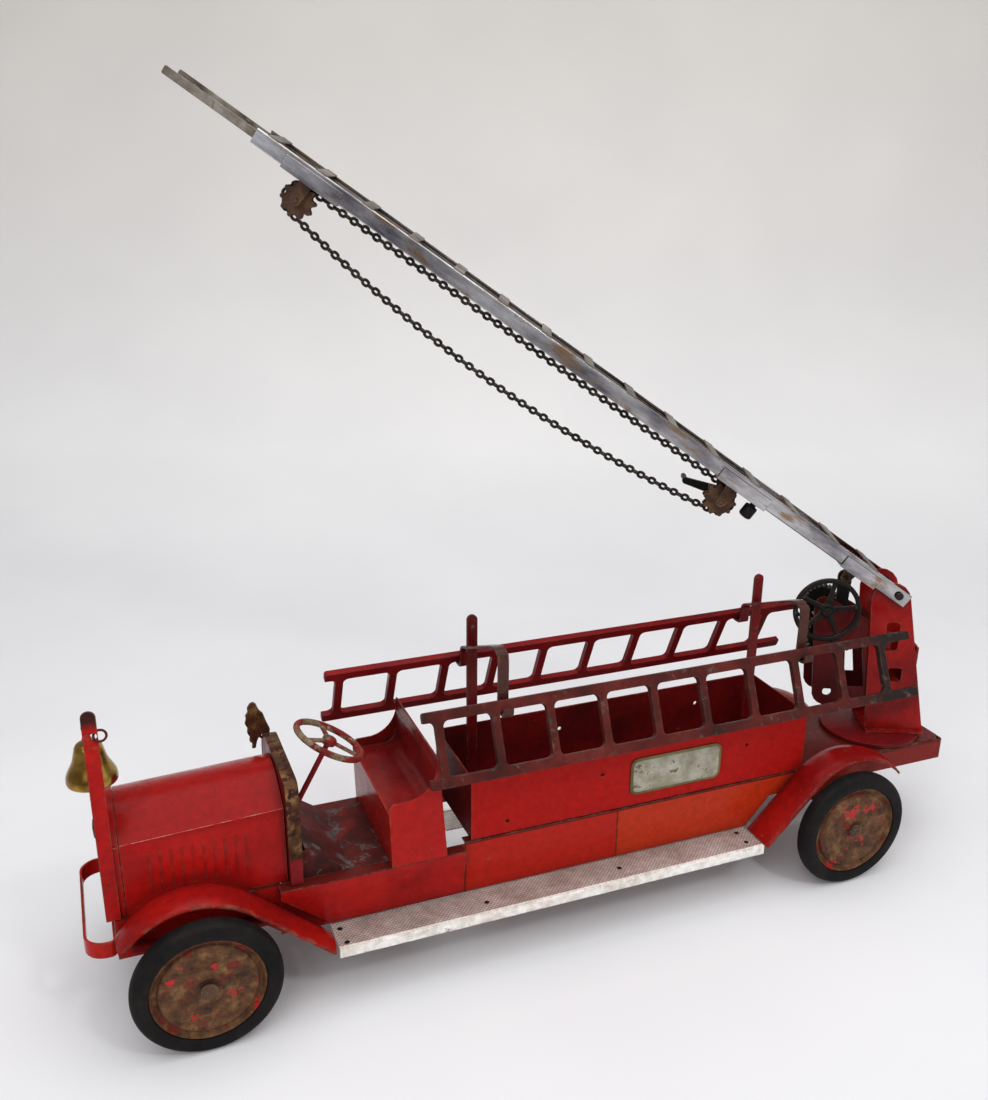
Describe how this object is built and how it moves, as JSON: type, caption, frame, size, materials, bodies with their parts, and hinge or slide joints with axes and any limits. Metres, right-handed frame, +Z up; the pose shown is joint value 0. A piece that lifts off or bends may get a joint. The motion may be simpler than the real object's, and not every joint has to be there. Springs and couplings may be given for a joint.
{
  "type": "toy ladder fire engine",
  "caption": "Pressed-steel toy fire engine with disc wheels, steering front axle, lift-off side ladders and a turntable aerial ladder that raises by gear and extends by chain.",
  "frame": {"origin": "on the floor, under the centre of the whole object's box with the aerial ladder swung out as it rests; the vehicle's own centre line runs at y = 0.0931", "axes": "+X forward along the vehicle, +Y to its left, +Z up"},
  "size_m": [0.7726, 0.375, 0.6807],
  "materials": {
    "red_enamel": "worn gloss enamel",
    "dark_red_enamel": "worn satin enamel",
    "worn_floor": "paint worn through",
    "nickel_tread": "dull plating with a fine cross pattern",
    "bell_brass": "tarnished",
    "ladder_plating": "stained nickel plating",
    "blackened_steel": "blackened",
    "rusted_steel": "rusted with paint remnants",
    "tyre_rubber": "aged rubber",
    "cream_plate": "aged cream paint",
    "faded_ladder_paint": "faded, worn"
  },
  "bodies": {
    "vehicle": {"chassis_frame": "red_enamel", "front_bumper": "dark_red_enamel", "front_spring_left": "dark_red_enamel", "front_spring_right": "dark_red_enamel", "fender_front_left": "red_enamel", "fender_front_right": "red_enamel", "fender_rear_left": "red_enamel", "fender_rear_right": "red_enamel", "running_board_left": "nickel_tread", "running_board_right": "nickel_tread", "hood": "red_enamel", "radiator_shell": "red_enamel", "radiator_core": "blackened_steel", "radiator_boss": "blackened_steel", "bell_strap": "red_enamel", "pull_ring": "blackened_steel", "cab_floor": "worn_floor", "dash_panel": "dark_red_enamel", "dash_bracket": "blackened_steel", "seat": "red_enamel", "steering_column": "dark_red_enamel", "ladder_bed": "red_enamel", "side_plate_left": "cream_plate", "side_plate_right": "cream_plate", "ladder_hanger_front": "dark_red_enamel", "ladder_hanger_rear": "dark_red_enamel", "rear_axle": "rusted_steel"},
    "front_axle": {"front_axle": "rusted_steel"},
    "wheel_front_left": {"wheel_disc_front_left": "rusted_steel", "tyre_front_left": "tyre_rubber"},
    "wheel_front_right": {"wheel_disc_front_right": "rusted_steel", "tyre_front_right": "tyre_rubber"},
    "wheel_rear_left": {"wheel_disc_rear_left": "rusted_steel", "tyre_rear_left": "tyre_rubber"},
    "wheel_rear_right": {"wheel_disc_rear_right": "rusted_steel", "tyre_rear_right": "tyre_rubber"},
    "steering_wheel": {"steering_wheel": "dark_red_enamel"},
    "bell": {"bell": "bell_brass"},
    "bell_clapper": {"bell_clapper": "blackened_steel"},
    "turntable": {"turntable": "dark_red_enamel", "tower": "red_enamel", "ladder_pivot_pin": "red_enamel", "gear_frame": "dark_red_enamel"},
    "hand_wheel": {"hand_wheel": "blackened_steel", "pinion_shaft": "blackened_steel"},
    "raising_gear": {"raising_gear": "blackened_steel"},
    "main_ladder": {"main_ladder": "ladder_plating", "lift_bracket": "ladder_plating", "sprocket_bracket_lower": "ladder_plating", "sprocket_bracket_upper": "ladder_plating", "drive_chain": "blackened_steel"},
    "lift_link": {"lift_link": "blackened_steel"},
    "extension_ladder": {"extension_ladder": "ladder_plating"},
    "lower_sprocket": {"sprocket_lower": "rusted_steel", "crank_handle": "blackened_steel"},
    "upper_sprocket": {"sprocket_upper": "rusted_steel"},
    "stop_knob": {"stop_knob": "blackened_steel"},
    "side_ladder_left": {"side_ladder_left": "faded_ladder_paint"},
    "side_ladder_right": {"side_ladder_right": "dark_red_enamel"}
  },
  "joints": [
    {"name": "steer", "type": "hinge", "parent": "vehicle", "child": "front_axle", "pos_m": [0.3074, 0.0931, 0.054], "axis": [0, 0, 1], "range_deg": [-3, 3]},
    {"name": "roll_front_left", "type": "hinge", "parent": "front_axle", "child": "wheel_front_left", "pos_m": [0.3074, 0.1771, 0.054], "axis": [0, 1, 0], "continuous": true},
    {"name": "roll_front_right", "type": "hinge", "parent": "front_axle", "child": "wheel_front_right", "pos_m": [0.3074, 0.0091, 0.054], "axis": [0, 1, 0], "continuous": true},
    {"name": "roll_rear_left", "type": "hinge", "parent": "vehicle", "child": "wheel_rear_left", "pos_m": [-0.2536, 0.1771, 0.054], "axis": [0, 1, 0], "continuous": true},
    {"name": "roll_rear_right", "type": "hinge", "parent": "vehicle", "child": "wheel_rear_right", "pos_m": [-0.2536, 0.0091, 0.054], "axis": [0, 1, 0], "continuous": true},
    {"name": "steering_wheel_turn", "type": "hinge", "parent": "vehicle", "child": "steering_wheel", "pos_m": [0.1989, 0.1151, 0.197], "axis": [-0.4852, 0, 0.8744], "range_deg": [-35, 35]},
    {"name": "bell_swing", "type": "hinge", "parent": "vehicle", "child": "bell", "pos_m": [0.3669, 0.1166, 0.2405], "axis": [0, 1, 0], "range_deg": [-22, 22]},
    {"name": "clapper_swing", "type": "hinge", "parent": "bell", "child": "bell_clapper", "pos_m": [0.3669, 0.1166, 0.2255], "axis": [0, 1, 0], "range_deg": [-14, 14]},
    {"name": "turntable_turn", "type": "hinge", "parent": "vehicle", "child": "turntable", "pos_m": [-0.3362, 0.0931, 0.1], "axis": [0, 0, 1], "range_deg": [-19, 32]},
    {"name": "ladder_raise", "type": "hinge", "parent": "turntable", "child": "main_ladder", "pos_m": [-0.3388, 0.09427, 0.2432], "axis": [-0.4115, -0.9114, 0], "range_deg": [-19, 36]},
    {"name": "raising_gear_turn", "type": "hinge", "parent": "turntable", "child": "raising_gear", "pos_m": [-0.29227, 0.07327, 0.1933], "axis": [-0.4115, -0.9114, 0], "continuous": true},
    {"name": "hand_wheel_turn", "type": "hinge", "parent": "turntable", "child": "hand_wheel", "pos_m": [-0.2806, 0.068, 0.229], "axis": [-0.4115, -0.9114, 0], "continuous": true},
    {"name": "lift_link_swing", "type": "hinge", "parent": "main_ladder", "child": "lift_link", "pos_m": [-0.29744, 0.0756, 0.25475], "axis": [-0.4115, -0.9114, 0], "range_deg": [-40, 40]},
    {"name": "extension_slide", "type": "slide", "parent": "main_ladder", "child": "extension_ladder", "axis": [0.7533, -0.3401, 0.5629], "range_m": [-0.044, 0.34]},
    {"name": "lower_sprocket_turn", "type": "hinge", "parent": "main_ladder", "child": "lower_sprocket", "pos_m": [-0.18874, 0.02652, 0.32389], "axis": [0.4115, 0.9114, 0], "continuous": true},
    {"name": "upper_sprocket_turn", "type": "hinge", "parent": "main_ladder", "child": "upper_sprocket", "pos_m": [0.15136, -0.12704, 0.57806], "axis": [0.4115, 0.9114, 0], "continuous": true},
    {"name": "stop_knob_turn", "type": "hinge", "parent": "main_ladder", "child": "stop_knob", "pos_m": [-0.20944, 0.04903, 0.32167], "axis": [-0.5131, 0.2317, 0.8265], "continuous": true},
    {"name": "side_ladder_left_lift", "type": "slide", "parent": "vehicle", "child": "side_ladder_left", "axis": [0, 0, 1], "range_m": [0, 0.05]},
    {"name": "side_ladder_right_lift", "type": "slide", "parent": "vehicle", "child": "side_ladder_right", "axis": [0, 0, 1], "range_m": [0, 0.05]}
  ],
  "couplings": [
    {"joint": "steering_wheel_turn", "follows": "steer", "ratio": 10},
    {"joint": "raising_gear_turn", "follows": "ladder_raise", "ratio": 3},
    {"joint": "hand_wheel_turn", "follows": "ladder_raise", "ratio": -4.5},
    {"joint": "lift_link_swing", "follows": "ladder_raise", "ratio": -1},
    {"joint": "lower_sprocket_turn", "follows": "extension_slide", "rad_per_m": 80},
    {"joint": "upper_sprocket_turn", "follows": "extension_slide", "rad_per_m": 80}
  ]
}
